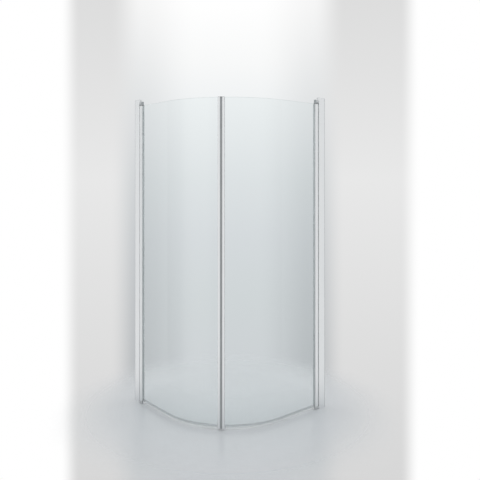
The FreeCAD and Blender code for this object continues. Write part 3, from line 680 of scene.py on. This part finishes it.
rubber = soft_extrusion("light grey EPDM", "#dcdfe0", "#d3d6d7", 0.5, 0.68)
gasket_start, slot_mouth, lip_end = -362.7, -355, -353.5
glass_side, slot_side, lip_out = 3.1, 4.65, 11.6
outline = [(gasket_start, glass_side), (lip_end, glass_side), (lip_end, lip_out)]
outline += [(slot_mouth, lip_out), (slot_mouth, slot_side), (gasket_start, slot_side)]
for name, side in (("outer_glazing_gasket", 1), ("inner_glazing_gasket", -1)):
    low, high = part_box(f"left_{name}")
    strip = standing(f"left_{name}_piece", [(x, side * out) for x, out in outline], low.z, high.z)
    rounded(strip, 0.7, 3, lambda one, other: upright_edge(one, other) and one.x > (lip_end - 0.5) * MM)
    bpy.ops.object.shade_smooth_by_angle(angle=math.radians(50))
    fit(strip, rubber)


# ---------------------------------------------------------------- edge gaskets
# Thinner extruded EPDM strips, pressed in between the glass and the closing profiles. They are pale
# grey, so that the edge stays light.

pale_rubber = soft_extrusion("pale grey EPDM", "#dcdedf", "#d2d4d6", 0.5, 0.66)
paint(pale_rubber, "outer_edge_gasket", "inner_edge_gasket")


# ---------------------------------------------------------------- magnet carriers and strips
# Grey vinyl strips with a foot in the closing profile and a chamber, and the flexible ferrite magnets
# inside them that draw the two doors together.

paint(soft_extrusion("grey vinyl", "#a6a9ab", "#9b9ea0", 0.42, 0.56), "magnet_carrier")
paint(soft_extrusion("ferrite in rubber", "#45423f", "#393734", 0.6, 0.75), "magnet_strip")


# ---------------------------------------------------------------- closing caps
# Small nylon caps, with two pegs each, over the ends of the closing profiles: mid grey at the top, light
# grey at the bottom, where the lighter grey is painted light that offsets the shade near the floor.
# Moulded matt.

MEETING = (287.25 * MM, -287.25 * MM)
DIAGONAL = math.sqrt(0.5)


def at_meeting(along, out):
    """A place given in mm along the glass from the meeting plane and outwards from the closing profile."""
    return (MEETING[0] + (along + out) * DIAGONAL * MM, MEETING[1] + (along - out) * DIAGONAL * MM)


def raised(name, corners, low, high):
    """An outline of corners beside the meeting edge, raised from low to high."""
    piece = drawn_face(name, [(*at_meeting(*corner), low) for corner in corners])
    bpy.ops.mesh.extrude_region_move(TRANSFORM_OT_translate={"value": (0, 0, high - low)})
    return closed(piece)


nylon = moulded_plastic("moulded nylon, mid grey", "#8d9092", "#838688", 0.4, 0.55, 0.8)
# The bottom caps' lighter grey is painted light against the shade near the floor.
nylon_with_painted_light = moulded_plastic("moulded nylon, light grey", "#cbcecf", "#c0c3c4", 0.4, 0.55, 0.8)
cap_start, cap_end, cap_half = -19.5, -0.2, 10
peg_start, peg_end, peg_in, peg_out = -17.7, -8.3, 6.55, 8.2
for name, plastic in (("closing_top_cap", nylon), ("closing_bottom_cap", nylon_with_painted_light)):
    low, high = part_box(f"left_{name}")
    is_top = name == "closing_top_cap"
    plate = (high.z - 1.5 * MM, high.z) if is_top else (low.z, low.z + 1.5 * MM)
    pegs = (low.z, high.z - MM) if is_top else (low.z + MM, high.z)
    corners = [(cap_start, cap_half), (cap_end, cap_half), (cap_end, -cap_half), (cap_start, -cap_half)]
    cap = raised(f"left_{name}_piece", corners, *plate)
    hinge_side = at_meeting(-10, 0)
    rounded(cap, 1.2, 4, lambda one, other: upright_edge(one, other) and one.x + one.y < sum(hinge_side))
    eased(cap, 0.35)
    for side in (1, -1):
        corners = [(peg_start, side * peg_in), (peg_end, side * peg_in)]
        corners += [(peg_end, side * peg_out), (peg_start, side * peg_out)]
        peg = raised("peg", corners, *pegs)
        joined(cap, eased(peg, 0.3, 1))
    fit(cap, plastic)


# ---------------------------------------------------------------- bottom seals
# Clear vinyl strips clipped on the lower edge of the glass, with a wiper lip over the floor and a drip
# edge on the inside. Extruded: slightly clouded, greyer where it is seen edge on.

SMOOTH = {"interpolation_type": "SMOOTHSTEP"}


def clear_vinyl():
    """Clouded vinyl that lets some lamp light through: greyer where it grips the glass than in the lip."""
    material, tree, place = new_material("clear vinyl")
    cloud = pattern(tree, place, 40, 12, 2)
    lip = node(tree, "Mix", RGBA, {"Factor": cloud, "A": linear("#f6f7f7"), "B": linear("#fbfcfc")})
    grip = node(tree, "Mix", RGBA, {"Factor": cloud, "A": linear("#eaebec"), "B": linear("#f0f1f2")})
    up = node(tree, "SeparateXYZ", inputs={"Vector": place}).outputs["Z"]
    gripping = node(tree, "MapRange", SMOOTH, {"Value": up, "From Min": 17 * MM, "From Max": 21 * MM})
    colour = node(tree, "Mix", RGBA, {"Factor": gripping, "A": lip, "B": grip})
    shader = node(
        tree,
        "BsdfPrincipled",
        inputs={
            "Base Color": colour,
            "Roughness": node(tree, "MapRange", inputs={"Value": cloud, "To Min": 0.12, "To Max": 0.25}),
            "IOR": 1.53,
            "Transmission Weight": 0.8,
        },
    )
    clear = node(tree, "BsdfTransparent", inputs={"Color": linear("#e6e8e9")})
    ray = node(tree, "LightPath").outputs["Is Shadow Ray"]
    mix = node(tree, "MixShader", inputs={0: ray, 1: shader, 2: clear})
    node(tree, "OutputMaterial", inputs={"Surface": mix})
    return material


SEAL_TURN = 42.55  # degrees round the bend, to just short of the edge gaskets
low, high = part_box("left_bottom_seal")
section = [(3.1, 32), (3.1, 19.9), (-3.1, 19.9), (-3.1, 32), (-4.3, 32), (-4.3, 18.7)]  # round the glass
section += [(-1.4, 18.7), (-0.7, 4), (0.7, 4), (1.4, 18.7)]  # wiper lip
section += [(5.5, 15.1), (6.7, 15.7), (4.3, 19.3), (4.3, 32)]  # drip edge, and back up
seal = along_glass("left_bottom_seal_piece", [(y * MM, z * MM) for y, z in section], low.x, SEAL_TURN)
eased(seal, 0.3)
fit(seal, clear_vinyl())


# ---------------------------------------------------------------- floor, backdrop, lights and camera
# A pale floor that fades into a pale surround some way from the enclosure, so that no horizon shows,
# and a wide soft lamp overhead.


def pale_floor():
    """Pale sealed floor with a faint gloss, clear beyond its middle so that the surround takes over."""
    material, tree, place = new_material("pale sealed floor")
    reach = node(tree, "VectorMath", {"operation": "LENGTH"}, {0: place})
    far = node(tree, "MapRange", SMOOTH, {"Value": reach, "From Min": 0.6, "From Max": 1.15})
    grain = pattern(tree, place, 6, 6, 3)
    colour = node(tree, "Mix", RGBA, {"Factor": grain, "A": linear("#c9cdd0"), "B": linear("#cdd0d3")})
    shader = node(
        tree,
        "BsdfPrincipled",
        inputs={
            "Base Color": colour,
            "Roughness": node(tree, "MapRange", inputs={"Value": grain, "To Min": 0.24, "To Max": 0.3}),
        },
    )
    clear = node(tree, "BsdfTransparent")
    mix = node(tree, "MixShader", inputs={0: far, 1: shader, 2: clear})
    node(tree, "OutputMaterial", inputs={"Surface": mix})
    return material


deselect()
bpy.ops.mesh.primitive_circle_add(vertices=96, radius=1.6, fill_type="NGON", location=(0, 0, 0))
floor = bpy.context.object
floor.name = "floor"
floor.data.materials.append(pale_floor())

# The surround: behind the enclosure it goes from white above to light grey below, greyer where the two
# wall profiles stand, with a white zone to the left and right of that. There is one more white zone
# towards -y. All round otherwise, and steeply below, it is an even pale grey.
BEHIND = (-0.7648, 0.6443)  # level direction from the camera to the enclosure
BAND = (-0.7782, 0.6280)  # the middle of the shaded band behind it, 1.2 degrees further left
world = bpy.data.worlds.new("studio")
bpy.context.scene.world = world
world.use_nodes = True
tree = world.node_tree
tree.nodes.clear()
way = node(tree, "TexCoord").outputs["Generated"]
height = node(tree, "SeparateXYZ", inputs={"Vector": way}).outputs["Z"]
level_way = node(tree, "VectorMath", {"operation": "MULTIPLY"}, {0: way, 1: (1, 1, 0)})
level_way = node(tree, "VectorMath", {"operation": "NORMALIZE"}, {0: level_way})


def turn_from(x, y):
    """The angle in degrees, seen from above, between a direction and x, y."""
    dot = node(tree, "VectorMath", {"operation": "DOT_PRODUCT"}, {0: level_way, 1: (x, y, 0)})
    angle = node(tree, "Math", {"operation": "ARCCOSINE"}, {0: dot})
    return node(tree, "Math", {"operation": "DEGREES"}, {0: angle})


def colours_by_height(*stops):
    """A ramp of colours by the height of a direction, from -0.5 to 0.5."""
    share = node(tree, "MapRange", inputs={"Value": height, "From Min": -0.5, "From Max": 0.5})
    ramp = node(tree, "ValToRGB", inputs={"Fac": share})
    while len(ramp.color_ramp.elements) < len(stops):
        ramp.color_ramp.elements.new(0.5)
    for element, (up, colour) in zip(ramp.color_ramp.elements, stops):
        element.position = up + 0.5
        element.color = linear(colour)
    return ramp


middle = colours_by_height(
    (-0.46, "#c6c9cc"), (-0.37, "#cbced1"), (-0.3, "#cfd2d5"), (-0.2, "#d2d6d8"), (-0.1, "#d8dbde"),
    (0.0, "#e1e4e6"), (0.14, "#f1f3f4"), (0.2, "#f8f9f9"), (0.29, "#ffffff"),
)
shade = colours_by_height(
    (-0.45, "#c8cbcd"), (-0.36, "#b6babd"), (-0.3, "#b2b6b9"), (-0.2, "#b9bdc0"), (-0.1, "#c2c6c9"),
    (0.0, "#cdd1d3"), (0.09, "#dbdddf"), (0.14, "#e2e4e5"), (0.29, "#f6f6f6"),
)
shoulder = colours_by_height(
    (-0.45, "#d7d7d7"), (-0.3, "#dddddd"), (0.0, "#e8e8e8"), (0.14, "#e3e3e3"), (0.3, "#dddddd")
)
white, pale, soft_grey = linear("#ffffff"), linear("#e9eaeb"), linear("#e3e5e6")


def changing(start, end, number, low, high):
    """From the colour start to the colour end as number goes from low to high."""
    share = node(tree, "MapRange", SMOOTH, {"Value": number, "From Min": low, "From Max": high})
    return node(tree, "Mix", RGBA, {"Factor": share, "A": start, "B": end})


aside, from_band = turn_from(*BEHIND), turn_from(*BAND)
backdrop = changing(middle, shade, from_band, 3, 9)
backdrop = changing(backdrop, shoulder, from_band, 8.4, 11.6)
backdrop = changing(backdrop, white, aside, 15.6, 17.4)
around = changing(white, pale, turn_from(0, -1), 15, 30)
backdrop = changing(backdrop, around, aside, 24, 40)
backdrop = changing(soft_grey, backdrop, height, -0.6, -0.49)
seen = node(tree, "Background", inputs={"Color": backdrop, "Strength": 1})
lighting = node(tree, "Background", inputs={"Color": linear("#f2f3f4"), "Strength": 0.85})
ray = node(tree, "LightPath").outputs
shown = node(tree, "Math", {"operation": "ADD"}, {0: ray["Is Camera Ray"], 1: ray["Is Glossy Ray"]})
shown = node(tree, "Math", {"operation": "ADD", "use_clamp": True}, {0: shown, 1: ray["Is Transmission Ray"]})
mix = node(tree, "MixShader", inputs={0: shown, 1: lighting, 2: seen})
node(tree, "OutputWorld", inputs={"Surface": mix})

lamp = bpy.data.lights.new("overhead", "AREA")
lamp.size, lamp.energy = 3.8, 78
overhead = bpy.data.objects.new("overhead", lamp)
bpy.context.scene.collection.objects.link(overhead)
overhead.location = (0.3, -0.4, 6)
overhead.rotation_euler = (Vector((0, 0, 0.4)) - overhead.location).to_track_quat("-Z", "Y").to_euler()

# The view, as solved from the photo's perspective: its size, focal length and horizon in pixels, the
# eye in metres, and its heading in degrees to the left of +y.
PIXELS, FOCAL_PIXELS, HORIZON_ROW = 480, 572.9, 179.56
EYE, HEADING = (2.934, -2.373, 1.472), 49.89
camera = bpy.data.cameras.new("camera")
camera.sensor_width = 36
camera.lens = FOCAL_PIXELS / PIXELS * camera.sensor_width
camera.shift_y = (HORIZON_ROW - PIXELS / 2) / PIXELS
eye = bpy.data.objects.new("camera", camera)
bpy.context.scene.collection.objects.link(eye)
eye.location = EYE
eye.rotation_euler = (math.radians(90), 0, math.radians(HEADING))
bpy.context.scene.camera = eye
bpy.context.scene.view_settings.view_transform = "Standard"
